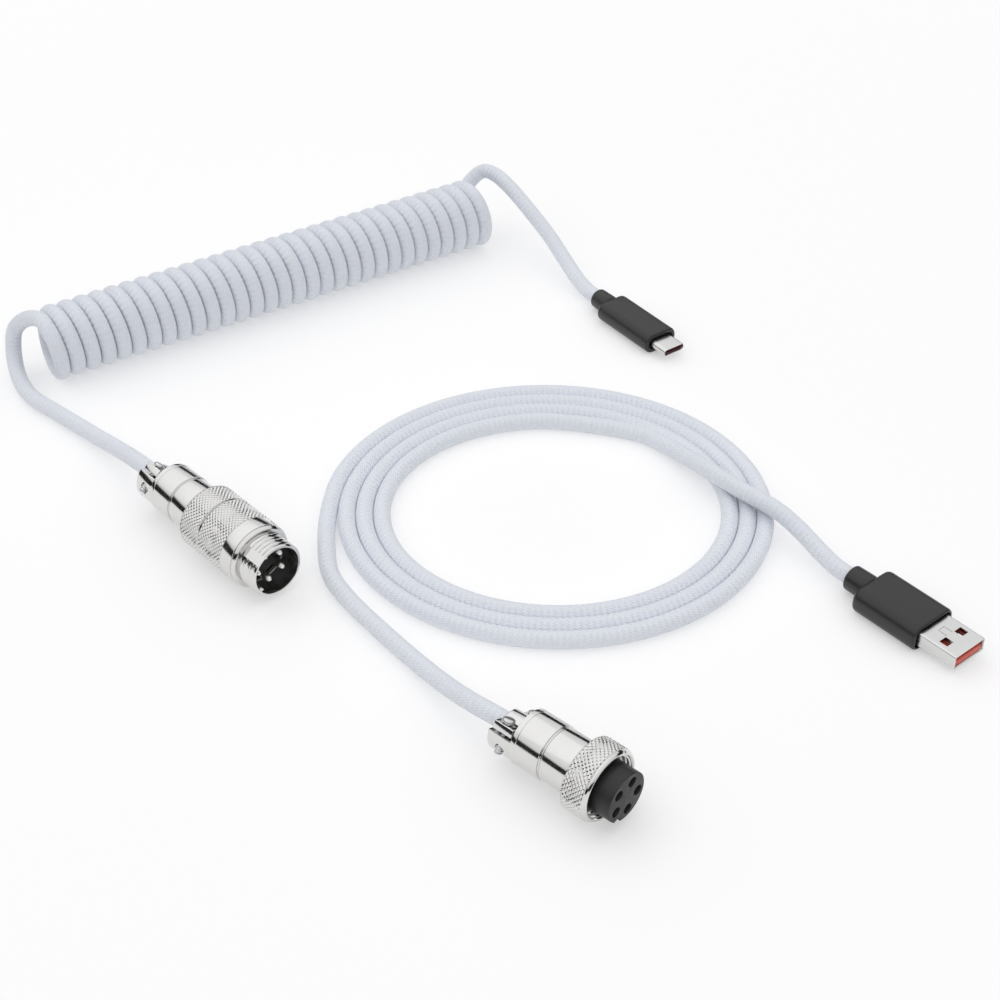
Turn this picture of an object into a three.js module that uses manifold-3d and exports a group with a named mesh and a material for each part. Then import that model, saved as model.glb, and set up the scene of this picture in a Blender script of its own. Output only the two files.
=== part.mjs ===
// A two-piece detachable USB cable for a mechanical keyboard, laid out on a table.
// The coiled half runs from a threaded aviator connector through a curly coil to a USB-C plug.
// The straight half runs from the mating aviator connector through a loose loop to a USB-A plug.
// Units are millimetres, +Z is up and the table is z = 0.

import * as THREE from 'three';
import { mergeVertices } from 'three/addons/utils/BufferGeometryUtils.js';
import Module from 'manifold-3d';

const wasm = await Module();
wasm.setup();

// ---- driving dimensions ----

const GAP = 0.3; // clearance kept between neighbouring pieces
const ROUND = 32; // facets around a connector
const CORD_R = 2.5; // braided sleeve, outer radius
const CORD_SIDES = 10;

// The point of the table midway between the outermost edges of the four connectors.
const ORIGIN = new THREE.Vector3(11.306, -11.178, 0);

// Curly coil: a right-handed close-wound cord lying on the table.
const COIL = { start: [-142.7, 63.7], heading: 32.6, length: 161, radius: 11.9 };

// Loop of the straight half: flat turns lying side by side, a little longer than deep.
const LOOP = { centre: [14.5, -6.5], outer: [64.3, 59.2], inner: [46.8, 42.6], height: 5 };

// Aviator connectors, measured along the axis from the rear of the cable clamp.
const MALE = { at: [-97.8, -1.3], heading: -47.6, roll: -50, axis: 9.7 };
const FEMALE = { at: [1.7, -100.2], heading: -41.7, roll: -27, axis: 9.9 };
const CLAMP = {
  length: 7, ear: 7.2, earTop: 2.5, arch: 4.2, cord: 2.9, screwY: 5.3, screwR: 1, headR: 1.7, headH: 1.2,
};
const SHELL = {
  start: 7, groove: 16, end: 24.2, tailEnd: 27.2, rearR: 7.5, frontR: 7.3, tailR: 5.9, bore: 5.2,
};
const KNURL = { radius: 9.7, sleeveEnd: 33, bodyEnd: 41.2, bandEnd: 49.6 };
const NOSE = { radius: 8, bore: 7, end: 56.8, floor: 48.5 };
const CONTACTS = { count: 5, circle: 4.2, pinR: 0.95, holeR: 1.4 };
const NUT = { start: 24.5, lip: 26.5, end: 32.3, radius: 9.9, bore: 8.3, lipBore: 7 };
const CORE = { neck: 6.7, flange: 7.9, end: 28.4 };
const PLUG_FACE = { start: 28.7, end: 37, radius: 6.7, tail: 5.9, contactR: 1.1, contactBore: 0.7 };

// USB plugs, measured along the axis from the rear of the strain relief.
const USB_A = {
  at: [95.4, -39.1], heading: -50, neckR: 3.8, neckEnd: 6.2, rear: 6.5, front: 28, tip: 40,
  width: 16, height: 8, corner: 3.4, shell: [12, 4.5], shellCorner: 0.5, wall: 0.3,
  cavityStart: 14, hood: 1.3, hoodGap: 0.8, tongue: [10.8, 1.85],
};
const USB_C = {
  at: [32.9, 105.6], heading: -54, neckR: 3.4, neckEnd: 6.2, rear: 6.5, front: 32.5, tip: 39.15,
  width: 12.4, height: 6.8, corner: 3.2, shell: [8.34, 2.56], shellCorner: 1.26, wall: 0.3,
  cavityStart: 10, hood: 1.2, hoodGap: 0.75,
};

// Cord routes, as points on the cord's centre line.
const MALE_LEAD = [
  [-152.6, 68.1, 14.9], [-153.7, 66.1, 8], [-151.7, 59.8, 3.4], [-145.5, 48.8, 2.8],
  [-134.7, 39.1, 2.8], [-120, 25.5, 3.6], [-108.2, 11.2, 7.6], [-101.2, 2.4, 9.6],
  [-97.8, -1.3, 9.7], [-91.4, -8.3, 9.7],
];
const USB_C_LEAD = [
  [-6, 161.6, 21.2], [-2, 159, 21.4], [3.5, 152.1, 19.8], [10.4, 143.2, 15.5],
  [17.3, 134, 10.4], [22.8, 124, 6.2], [27, 115, 4], [30, 109.6, 3.4], [32.9, 105.6, 3.4],
  [34.4, 103.5, 3.4],
];
const FEMALE_LEAD = [
  [8.2, -106, 9.9], [1.7, -100.2, 9.9], [-2, -96.9, 9.6], [-7.6, -90.6, 7.8], [-13.9, -81.5, 4.6],
  [-21.6, -71.2, 2.8], [-31.6, -58.8, 2.6], [-40.6, -46.8, 2.6], [-46, -37, 2.6],
];
const USB_A_LEAD = [
  [54, 14, 8], [61.9, 2.4, 8], [69.6, -6.6, 8], [77.6, -14.6, 7.9], [83.4, -21.4, 6.2],
  [88.6, -29.6, 4.5], [92.2, -35.3, 4], [95.4, -39.1, 4], [97.1, -41.1, 4],
];

// ---- materials ----

const paint = (color, roughness, metalness) => ({ color, roughness, metalness });
const NICKEL = paint(0xd6d6d4, 0.18, 1);
const STEEL = paint(0xc9cacb, 0.25, 1);
const BLACK_PLASTIC = paint(0x2c2c2e, 0.5, 0);
const BLACK_INSERT = paint(0x121213, 0.6, 0);
const RED_TONGUE = paint(0xb8443a, 0.5, 0);
const DARK_RED = paint(0x3a1013, 0.6, 0);
const SILVER = paint(0xe0deda, 0.25, 1);
const BOARD_GREEN = paint(0x1f4a33, 0.6, 0);
const BRAID = paint(0xdbe2ee, 0.85, 0);

// ---- geometry helpers ----

const degrees = THREE.MathUtils.degToRad;
const vector = (p) => new THREE.Vector3(...p);

// A closed mesh as a solid, with its shared vertices merged and its faces pointing out.
function solid(geometry) {
  const bare = new THREE.BufferGeometry();
  bare.setAttribute('position', geometry.getAttribute('position').clone());
  bare.setIndex(geometry.index ? geometry.index.clone() : null);
  const merged = mergeVertices(bare, 1e-4);
  const position = merged.getAttribute('position');
  const corner = (i) => new THREE.Vector3().fromBufferAttribute(position, i);
  const faces = [];
  let volume = 0;
  for (let i = 0; i < merged.index.count; i += 3) {
    const [a, b, c] = [0, 1, 2].map((k) => merged.index.getX(i + k));
    if (a === b || b === c || c === a) continue;
    faces.push([a, b, c]);
    volume += corner(a).dot(corner(b).cross(corner(c)));
  }
  const outward = volume > 0 ? faces : faces.map(([a, b, c]) => [a, c, b]);
  return new wasm.Manifold(new wasm.Mesh({
    numProp: 3,
    vertProperties: new Float32Array(position.array),
    triVerts: new Uint32Array(outward.flat()),
  }));
}

function geometryOf(body) {
  const mesh = body.getMesh();
  const geometry = new THREE.BufferGeometry();
  geometry.setAttribute('position', new THREE.BufferAttribute(mesh.vertProperties, 3));
  geometry.setIndex(new THREE.BufferAttribute(mesh.triVerts, 1));
  return geometry;
}

// A solid of revolution about +X from (x, radius) pairs; one that starts off the axis is a ring.
function turned(profile, facets = ROUND) {
  const points = profile.map(([x, r]) => new THREE.Vector2(r, x));
  if (profile[0][1] > 0) points.push(points[0].clone());
  return solid(new THREE.LatheGeometry(points, facets).rotateZ(-Math.PI / 2));
}

const rod = (r, x0, x1, facets = ROUND) => turned([[x0, 0], [x0, r], [x1, r], [x1, 0]], facets);

function box(x0, x1, y0, y1, z0, z1) {
  const geometry = new THREE.BoxGeometry(x1 - x0, y1 - y0, z1 - z0);
  return solid(geometry.translate((x0 + x1) / 2, (y0 + y1) / 2, (z0 + z1) / 2));
}

// An outline in (y, z) pushed along +X from x0 to x1.
function bar(outline, x0, x1) {
  const geometry = new THREE.ExtrudeGeometry(outline, {
    depth: x1 - x0, bevelEnabled: false, curveSegments: 4,
  });
  const turn = new THREE.Matrix4().makeBasis(
    new THREE.Vector3(0, 1, 0), new THREE.Vector3(0, 0, 1), new THREE.Vector3(1, 0, 0));
  return solid(geometry.applyMatrix4(turn).translate(x0, 0, 0));
}

function roundedOutline(width, height, corner) {
  const [w, h] = [width / 2, height / 2];
  const outline = new THREE.Shape();
  outline.moveTo(-w + corner, -h);
  outline.lineTo(w - corner, -h);
  outline.absarc(w - corner, -h + corner, corner, -Math.PI / 2, 0);
  outline.lineTo(w, h - corner);
  outline.absarc(w - corner, h - corner, corner, 0, Math.PI / 2);
  outline.lineTo(-w + corner, h);
  outline.absarc(-w + corner, h - corner, corner, Math.PI / 2, Math.PI);
  outline.lineTo(-w, -h + corner);
  outline.absarc(-w + corner, -h + corner, corner, Math.PI, Math.PI * 1.5);
  return outline;
}

// A round cord along a smooth curve through the route's points.
function cordTube(route) {
  const curve = new THREE.CatmullRomCurve3(route.map((p) => vector(p).sub(ORIGIN)));
  const section = new THREE.Shape();
  for (let i = 0; i < CORD_SIDES; i += 1) {
    const angle = (i / CORD_SIDES) * 2 * Math.PI;
    const corner = [CORD_R * Math.cos(angle), CORD_R * Math.sin(angle)];
    if (i === 0) section.moveTo(...corner);
    else section.lineTo(...corner);
  }
  const steps = Math.ceil(curve.getLength() / (3.2 * CORD_R));
  return solid(new THREE.ExtrudeGeometry(section, { steps, extrudePath: curve, bevelEnabled: false }));
}

function add(parent, name, body, look) {
  const mesh = new THREE.Mesh(geometryOf(body), new THREE.MeshStandardMaterial(look));
  mesh.name = name;
  parent.add(mesh);
}

// A group at a piece's rear end, with +X along the piece and an optional roll about it.
function place(parent, { at, heading, roll = 0 }, height) {
  const turn = new THREE.Group();
  turn.position.set(at[0] - ORIGIN.x, at[1] - ORIGIN.y, height);
  turn.rotation.z = degrees(heading);
  const rolled = new THREE.Group();
  rolled.rotation.x = degrees(roll);
  turn.add(rolled);
  parent.add(turn);
  return rolled;
}

// ---- aviator connectors ----

const screwAxis = (y, r, z0, z1) => solid(
  new THREE.CylinderGeometry(r, r, z1 - z0, 12).rotateX(Math.PI / 2)
    .translate(CLAMP.length / 2, y, (z0 + z1) / 2));

// Where each contact stands on its circle: one points at the clamp bar, the key lies opposite.
function contactPlaces() {
  return Array.from({ length: CONTACTS.count }, (_, i) => {
    const angle = Math.PI / 2 + (i / CONTACTS.count) * 2 * Math.PI;
    return [CONTACTS.circle * Math.cos(angle), CONTACTS.circle * Math.sin(angle)];
  });
}

// The back shell ends in the fixed jaw of the cable clamp.
function backShell() {
  const { start, groove, end, tailEnd, rearR, frontR, tailR, bore } = SHELL;
  const body = turned([
    [start, CLAMP.cord], [start, rearR - 0.6], [start + 0.6, rearR], [groove - 0.3, rearR],
    [groove - 0.3, rearR - 0.5], [groove + 0.3, rearR - 0.5], [groove + 0.3, frontR], [end, frontR],
    [end, tailR], [tailEnd, tailR], [tailEnd, bore], [start + 3, bore], [start + 3, CLAMP.cord],
  ]);
  const jaw = rod(rearR - 0.3, 0, start + 0.5)
    .subtract(box(-1, start + 1, -10, 10, -0.4, 10))
    .subtract(rod(CLAMP.cord, -1, start + 1));
  const holes = [-1, 1].map((side) => screwAxis(side * CLAMP.screwY, CLAMP.screwR + GAP, -10, 1));
  return body.add(holes.reduce((left, hole) => left.subtract(hole), jaw));
}

// The clamp's loose bar: two flat ears joined by an arch over the cord.
function clampBar() {
  const { length, ear, earTop, arch, cord, screwY, screwR } = CLAMP;
  const foot = Math.asin(earTop / arch);
  const outline = new THREE.Shape();
  outline.moveTo(ear, GAP);
  outline.lineTo(ear, earTop);
  outline.absarc(0, 0, arch, foot, Math.PI - foot);
  outline.lineTo(-ear, earTop);
  outline.lineTo(-ear, GAP);
  outline.absarc(0, 0, cord, Math.PI - 0.1, 0.1, true);
  const holes = [-1, 1].map((side) => screwAxis(side * screwY, screwR + GAP, -1, 4));
  return holes.reduce((left, hole) => left.subtract(hole), bar(outline, 0.8, length - GAP));
}

function clampScrew(side) {
  const y = side * CLAMP.screwY;
  const seat = CLAMP.earTop + GAP;
  const head = screwAxis(y, CLAMP.headR, seat, seat + CLAMP.headH);
  return head.add(screwAxis(y, CLAMP.screwR, -5.8, seat + 0.2));
}

function addCableEnd(group, prefix) {
  add(group, `${prefix}_back_shell`, backShell(), NICKEL);
  add(group, `${prefix}_clamp_bar`, clampBar(), NICKEL);
  add(group, `${prefix}_clamp_screw_near`, clampScrew(-1), STEEL);
  add(group, `${prefix}_clamp_screw_far`, clampScrew(1), STEEL);
}

function addMaleConnector(parent) {
  const group = place(parent, MALE, MALE.axis);
  const { radius, sleeveEnd, bodyEnd, bandEnd } = KNURL;
  const inner = SHELL.tailR + GAP;
  addCableEnd(group, 'male');
  add(group, 'male_knurled_sleeve', turned([
    [SHELL.end + GAP, inner], [SHELL.end + GAP, radius - 0.5], [SHELL.end + 0.8, radius],
    [sleeveEnd - 0.3, radius], [sleeveEnd, radius - 0.3], [sleeveEnd, inner],
  ]), NICKEL);

  const keyway = box(bandEnd + 0.5, NOSE.end + 1, -NOSE.radius - 1, -NOSE.radius + 0.55, -1.2, 1.2);
  const key = box(NOSE.floor, NOSE.end - 0.8, -0.8, 0.8, -NOSE.bore - 0.3, -NOSE.bore + 0.7);
  const socket = turned([
    [sleeveEnd + GAP, inner], [sleeveEnd + GAP, radius - 0.3], [sleeveEnd + 0.6, radius],
    [bodyEnd, radius], [bodyEnd, radius - 0.2], [bandEnd - 0.6, radius - 0.2], [bandEnd, radius - 0.8],
    [bandEnd, NOSE.radius], [NOSE.end - 0.5, NOSE.radius], [NOSE.end, NOSE.radius - 0.5],
    [NOSE.end, NOSE.bore], [bodyEnd, NOSE.bore], [bodyEnd, inner],
  ]);
  add(group, 'male_socket_body', socket.subtract(keyway).add(key), NICKEL);

  const places = contactPlaces();
  const holes = places.map(([y, z]) => rod(CONTACTS.pinR + GAP, 30, 60, 12).translate(0, y, z));
  const insulator = rod(NOSE.bore - GAP, bodyEnd + GAP, NOSE.floor - GAP);
  add(group, 'male_insulator', holes.reduce((left, hole) => left.subtract(hole), insulator), BLACK_INSERT);
  const { pinR } = CONTACTS;
  places.forEach(([y, z], i) => {
    const pin = turned([[38, 0], [38, pinR], [53.6, pinR], [54.4, pinR * 0.45], [54.4, 0]], 12);
    add(group, `male_pin_${i + 1}`, pin.translate(0, y, z), SILVER);
  });
}

function addFemaleConnector(parent) {
  const group = place(parent, FEMALE, FEMALE.axis);
  addCableEnd(group, 'female');
  const inner = SHELL.tailR + GAP;
  add(group, 'female_core', turned([
    [SHELL.end + GAP, inner], [SHELL.end + GAP, CORE.neck], [NUT.lip + GAP, CORE.neck],
    [NUT.lip + GAP, CORE.flange], [CORE.end, CORE.flange], [CORE.end, inner],
  ]), STEEL);

  const { start, end, radius, tail, contactR, contactBore } = PLUG_FACE;
  const face = turned([
    [SHELL.tailEnd + GAP, 0], [SHELL.tailEnd + GAP, tail], [start, tail], [start, radius],
    [end - 0.3, radius], [end, radius - 0.3], [end, 0],
  ]);
  const notch = box(start + 1, end + 1, -1.1, 1.1, -radius - 1, -radius + 1.1);
  const places = contactPlaces();
  const holes = places.map(([y, z]) => rod(CONTACTS.holeR, 20, 40, 12).translate(0, y, z));
  const insulator = holes.reduce((left, hole) => left.subtract(hole), face.subtract(notch));
  add(group, 'female_insulator', insulator, BLACK_INSERT);
  const [back, front] = [start - 0.7, end - 1];
  const contact = turned([[back, contactBore], [back, contactR], [front, contactR], [front, contactBore]], 12);
  places.forEach(([y, z], i) => {
    add(group, `female_contact_${i + 1}`, contact.translate(0, y, z), SILVER);
  });

  add(group, 'coupling_nut', turned([
    [NUT.start, NUT.lipBore], [NUT.start, NUT.radius - 0.5], [NUT.start + 0.5, NUT.radius],
    [NUT.end - 0.5, NUT.radius], [NUT.end, NUT.radius - 0.5], [NUT.end, NUT.bore],
    [NUT.lip, NUT.bore], [NUT.lip, NUT.lipBore],
  ]), NICKEL);
}

// ---- USB plugs ----

// The moulded housing is hollow from the front: a hood round the shell, then the shell's pocket.
function plugHousing(plug) {
  const { rear, front, width, height, corner, shell, shellCorner, cavityStart, hood, hoodGap } = plug;
  const body = bar(roundedOutline(width, height, corner), rear, front);
  const pocket = roundedOutline(shell[0] + 2 * GAP, shell[1] + 2 * GAP, shellCorner + GAP);
  const mouth = roundedOutline(shell[0] + 2 * hoodGap, shell[1] + 2 * hoodGap, shellCorner + hoodGap);
  return body.subtract(bar(pocket, cavityStart, front + 1)).subtract(bar(mouth, front - hood, front + 1));
}

// A short sleeve behind the housing, bored from the rear for the cord.
function strainRelief({ neckR, neckEnd }) {
  return turned([
    [0, CORD_R + GAP], [0, neckR - 0.6], [0.6, neckR], [neckEnd, neckR], [neckEnd, 0], [3, 0],
    [3, CORD_R + GAP],
  ]);
}

function plugShell({ shell, shellCorner, wall, tip }, tailStart) {
  const outer = bar(roundedOutline(shell[0], shell[1], shellCorner), tailStart, tip);
  const inner = roundedOutline(shell[0] - 2 * wall, shell[1] - 2 * wall, shellCorner - wall);
  return outer.subtract(bar(inner, tailStart - 1, tip + 1));
}

function addUsbA(parent) {
  const group = place(parent, USB_A, USB_A.height / 2);
  add(group, 'usb_a_strain_relief', strainRelief(USB_A), BLACK_PLASTIC);
  add(group, 'usb_a_housing', plugHousing(USB_A), BLACK_PLASTIC);
  const window = (side) => box(USB_A.tip - 6.6, USB_A.tip - 4.3, side * 3 - 1.2, side * 3 + 1.2, 1, 3);
  const shell = [-1, 1].reduce((left, side) => left.subtract(window(side)), plugShell(USB_A, 15));
  add(group, 'usb_a_shell', shell, STEEL);
  const floor = -USB_A.shell[1] / 2 + USB_A.wall + GAP;
  const [width, height] = USB_A.tongue;
  const tongue = box(17, USB_A.tip - 0.4, -width / 2, width / 2, floor, floor + height);
  add(group, 'usb_a_tongue', tongue, RED_TONGUE);
  [-3.5, -1, 1, 3.5].forEach((y, i) => {
    const top = floor + height + GAP;
    add(group, `usb_a_contact_${i + 1}`, box(20, USB_A.tip - 1.2, y - 0.5, y + 0.5, top, top + 0.3), SILVER);
  });
}

function addUsbC(parent) {
  const group = place(parent, USB_C, USB_C.height / 2);
  add(group, 'usb_c_strain_relief', strainRelief(USB_C), BLACK_PLASTIC);
  add(group, 'usb_c_housing', plugHousing(USB_C), BLACK_PLASTIC);
  add(group, 'usb_c_shell', plugShell(USB_C, 25.8), STEEL);
  const [width, height] = USB_C.shell.map((side) => side - 2 * (USB_C.wall + GAP));
  const liner = bar(roundedOutline(width, height, height / 2 - 0.02), 26.5, USB_C.tip - 0.5);
  add(group, 'usb_c_insert', liner.subtract(box(USB_C.tip - 5, USB_C.tip + 1, -3.1, 3.1, -0.32, 0.32)), DARK_RED);
  add(group, 'usb_c_board', box(11, 25.5, -3.2, 3.2, -0.5, 0.5), BOARD_GREEN);
}

// ---- cords ----

function curlyCoil() {
  const half = CORD_R + 0.3;
  const body = rod(COIL.radius, -half, COIL.length + half, 28);
  return body.rotate([0, 0, COIL.heading])
    .translate([COIL.start[0] - ORIGIN.x, COIL.start[1] - ORIGIN.y, COIL.radius]);
}

function cordLoop() {
  const { centre, outer, inner, height } = LOOP;
  const shell = new THREE.LatheGeometry([
    new THREE.Vector2(inner[0], 0), new THREE.Vector2(outer[0], 0), new THREE.Vector2(outer[0], height),
    new THREE.Vector2(inner[0], height), new THREE.Vector2(inner[0], 0),
  ], 48);
  shell.rotateX(Math.PI / 2).scale(1, outer[1] / outer[0], 1);
  return solid(shell.translate(centre[0] - ORIGIN.x, centre[1] - ORIGIN.y, 0));
}

// ---- the whole cable ----

const cable = new THREE.Group();
addMaleConnector(cable);
add(cable, 'male_lead', cordTube(MALE_LEAD), BRAID);
add(cable, 'curly_coil', curlyCoil(), BRAID);
add(cable, 'usb_c_lead', cordTube(USB_C_LEAD), BRAID);
addUsbC(cable);
addFemaleConnector(cable);
add(cable, 'female_lead', cordTube(FEMALE_LEAD), BRAID);
add(cable, 'cord_loop', cordLoop(), BRAID);
add(cable, 'usb_a_lead', cordTube(USB_A_LEAD), BRAID);
addUsbA(cable);

export default cable;
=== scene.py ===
"""Looks for a detachable coiled keyboard cable: camera, cords, connectors, plugs, materials and studio."""

import math

import bmesh
import bpy
import numpy as np
from mathutils import Matrix, Vector

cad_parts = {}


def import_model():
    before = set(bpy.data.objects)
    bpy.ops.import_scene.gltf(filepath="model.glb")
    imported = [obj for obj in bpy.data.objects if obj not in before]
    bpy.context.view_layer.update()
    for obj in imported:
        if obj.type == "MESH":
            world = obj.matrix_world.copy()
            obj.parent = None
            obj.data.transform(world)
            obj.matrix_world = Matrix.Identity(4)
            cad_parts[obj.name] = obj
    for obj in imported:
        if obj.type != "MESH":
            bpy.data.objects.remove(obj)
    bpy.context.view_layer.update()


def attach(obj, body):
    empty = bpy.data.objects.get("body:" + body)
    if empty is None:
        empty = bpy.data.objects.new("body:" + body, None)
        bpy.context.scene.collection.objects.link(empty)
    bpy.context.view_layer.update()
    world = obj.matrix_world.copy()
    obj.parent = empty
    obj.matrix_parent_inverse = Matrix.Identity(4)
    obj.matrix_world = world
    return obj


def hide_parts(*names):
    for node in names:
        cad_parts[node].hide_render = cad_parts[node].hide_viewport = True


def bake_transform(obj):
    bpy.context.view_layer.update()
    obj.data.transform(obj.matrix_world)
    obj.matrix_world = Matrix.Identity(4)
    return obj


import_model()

MM = 0.001
ORIGIN = Vector((0.011306, -0.011178, 0))  # the frame's origin, where the layout's own zero is not


def world(point):
    """A point of the layout, in metres, in the row frame."""
    return Vector(point) - ORIGIN


# ---- camera ----

CAMERA_DISTANCE = 0.52174  # to the point of the table at the middle of the picture
CAMERA_ELEVATION = math.radians(38)
CAMERA_LENS = 64.8


def add_camera():
    data = bpy.data.cameras.new("camera")
    data.lens = CAMERA_LENS
    data.sensor_width = 36
    data.clip_start = 0.01
    camera = bpy.data.objects.new("camera", data)
    back = Vector((0, -math.cos(CAMERA_ELEVATION), math.sin(CAMERA_ELEVATION)))
    camera.location = world((0, 0, 0)) + back * CAMERA_DISTANCE
    camera.rotation_euler = (math.pi / 2 - CAMERA_ELEVATION, 0, 0)
    bpy.context.scene.collection.objects.link(camera)
    bpy.context.scene.camera = camera


add_camera()

# ---- materials ----


def material(name, color, roughness, metallic=0.0, **sockets):
    """A Principled material and the node tree's handles, for a pattern to be added to."""
    made = bpy.data.materials.new(name)
    made.use_nodes = True
    tree = made.node_tree
    shader = tree.nodes["Principled BSDF"]
    shader.inputs["Base Color"].default_value = (*color, 1)
    shader.inputs["Roughness"].default_value = roughness
    shader.inputs["Metallic"].default_value = metallic
    for socket, value in sockets.items():
        shader.inputs[socket.replace("_", " ")].default_value = value
    return made, tree, shader


def node(tree, kind, links=None, **values):
    """A node with its properties set, and its inputs set or linked by name or index."""
    made = tree.nodes.new(kind)
    for key, value in values.items():
        setattr(made, key, value)
    for key, value in (links or {}).items():
        if isinstance(value, bpy.types.NodeSocket):
            tree.links.new(value, made.inputs[key])
        else:
            made.inputs[key].default_value = value
    return made


def maths(tree, operation, *values):
    """The output of a Math node on numbers or sockets."""
    links = dict(enumerate(values))
    return node(tree, "ShaderNodeMath", links, operation=operation).outputs[0]


def noise(tree, scale, stretch=(1, 1, 1), by="Object", detail=3.0):
    """Noise in the piece's own coordinates, or in its UV."""
    where = node(tree, "ShaderNodeTexCoord").outputs[by]
    placed = node(tree, "ShaderNodeMapping", {"Vector": where, "Scale": stretch}).outputs[0]
    return node(tree, "ShaderNodeTexNoise", {"Vector": placed, "Scale": scale, "Detail": detail}).outputs[0]


def spread(tree, value, low, high):
    """A value from 0 to 1 spread over low to high, which are Map Range's inputs 3 and 4."""
    return node(tree, "ShaderNodeMapRange", {0: value, 3: low, 4: high}).outputs[0]


def tint(tree, value, dark, light):
    """A colour from dark to light by a value, which are a colour Mix's inputs 6, 7 and 0."""
    mix = node(tree, "ShaderNodeMix", {0: value, 6: (*dark, 1), 7: (*light, 1)}, data_type="RGBA")
    return mix.outputs[2]


def bump(tree, shader, height, strength, distance):
    made = node(tree, "ShaderNodeBump", {"Height": height, "Strength": strength, "Distance": distance})
    tree.links.new(made.outputs[0], shader.inputs["Normal"])


def plated(name, color, roughness, marks=0.15):
    """Plated metal: faint turning rings round the axis, cloudy roughness and a slight tone drift."""
    made, tree, shader = material(name, color, roughness, 1.0)
    cloud = noise(tree, 260)
    rings = noise(tree, 1, (1.5, 9, 1), "UV")
    dull = spread(tree, cloud, roughness * 0.8, roughness * 1.35)
    tree.links.new(dull, shader.inputs["Roughness"])
    tree.links.new(tint(tree, cloud, [c * 0.93 for c in color], color), shader.inputs["Base Color"])
    bump(tree, shader, rings, marks, 0.00002)
    return made


def moulded(name, color, roughness, grain=2600, strength=0.25):
    """Moulded plastic: a fine spark-eroded grain, with roughness and tone that drift a little."""
    made, tree, shader = material(name, color, roughness)
    fine = noise(tree, grain, detail=2)
    drift = noise(tree, 120)
    tree.links.new(spread(tree, drift, roughness * 0.85, roughness * 1.15), shader.inputs["Roughness"])
    tree.links.new(tint(tree, drift, [c * 0.85 for c in color], [c * 1.15 for c in color]),
                   shader.inputs["Base Color"])
    bump(tree, shader, fine, strength, 0.00004)
    return made


YARNS = 22  # braid yarns round the cord, each way
YARN_STEP = 0.85  # mm along the cord from one crossing to the next


def braided(name, light, shade):
    """A tight plain braid: yarns of two helical families pass over and under each other. Its colour holds
    painted shade: it darkens towards the bluish shade colour in the hollows between the yarns, and a random
    speckle mottles it as well.
    """
    made, tree, shader = material(name, light, 0.62, 0.0, Sheen_Weight=0.35, Sheen_Roughness=0.4,
                                  Specular_IOR_Level=0.45)
    uv = node(tree, "ShaderNodeTexCoord").outputs["UV"]
    around, along, _ = node(tree, "ShaderNodeSeparateXYZ", {0: uv}).outputs
    turn = maths(tree, "MULTIPLY", around, YARNS)
    run = maths(tree, "DIVIDE", along, YARN_STEP * 2)
    right = maths(tree, "ADD", turn, run)
    left = maths(tree, "SUBTRACT", turn, run)
    cells = maths(tree, "ADD", maths(tree, "FLOOR", right), maths(tree, "FLOOR", left))
    over = maths(tree, "PINGPONG", cells, 1.0)
    crown = [maths(tree, "SINE", maths(tree, "MULTIPLY", maths(tree, "FRACT", v), math.pi))
             for v in (right, left)]
    height = node(tree, "ShaderNodeMix", {0: over, 2: crown[0], 3: crown[1]}).outputs[0]
    speckle = noise(tree, 1, (60, 2.2, 1), "UV", detail=4)
    # painted shade: darker where the weave dips between yarns, times the yarns' own random speckle
    tone = maths(tree, "MULTIPLY", spread(tree, speckle, 0.45, 1.25), spread(tree, height, 0.5, 1.0))
    tree.links.new(tint(tree, tone, shade, light), shader.inputs["Base Color"])
    bump(tree, shader, height, 0.6, 0.0002)
    return made


NICKEL = plated("nickel", (0.73, 0.725, 0.71), 0.12)
STEEL = plated("zinc_steel", (0.66, 0.665, 0.67), 0.24)
SHELL_STEEL = plated("usb_shell_steel", (0.72, 0.72, 0.71), 0.24, marks=0.05)
SILVER = plated("contact_silver", (0.92, 0.91, 0.88), 0.18)
BLACK = moulded("black_plastic", (0.017, 0.017, 0.018), 0.34)
INSERT = moulded("black_insert", (0.010, 0.010, 0.011), 0.46, grain=1800)
RED = moulded("red_tongue", (0.62, 0.085, 0.05), 0.35, strength=0.1)
DARK_RED = moulded("dark_red_insert", (0.09, 0.008, 0.012), 0.4, strength=0.1)
BOARD = moulded("circuit_board", (0.03, 0.16, 0.07), 0.4)
# the second colour is the bluish painted shade in the hollows between yarns
BRAID = braided("braided_sleeve", (0.93, 0.945, 0.97), (0.58, 0.65, 0.80))

# ---- mesh helpers ----

SHARP = math.radians(32)


def finish_mesh(mesh, matrix=None):
    """Puts a mesh in place, makes its faces point out and keeps creases only where faces turn sharply."""
    build = bmesh.new()
    build.from_mesh(mesh)
    bmesh.ops.remove_doubles(build, verts=build.verts, dist=1e-5)
    bmesh.ops.recalc_face_normals(build, faces=build.faces)
    for face in build.faces:
        face.smooth = True
    for edge in build.edges:
        edge.smooth = len(edge.link_faces) == 2 and edge.calc_face_angle(0) < SHARP
    build.to_mesh(mesh)
    build.free()
    if matrix is not None:
        mesh.transform(matrix)
    mesh.update()


def run_along(points):
    """The run along a line of points, from 0 at the first."""
    return np.concatenate([[0], np.cumsum(np.linalg.norm(np.diff(points, axis=0), axis=1))])


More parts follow.
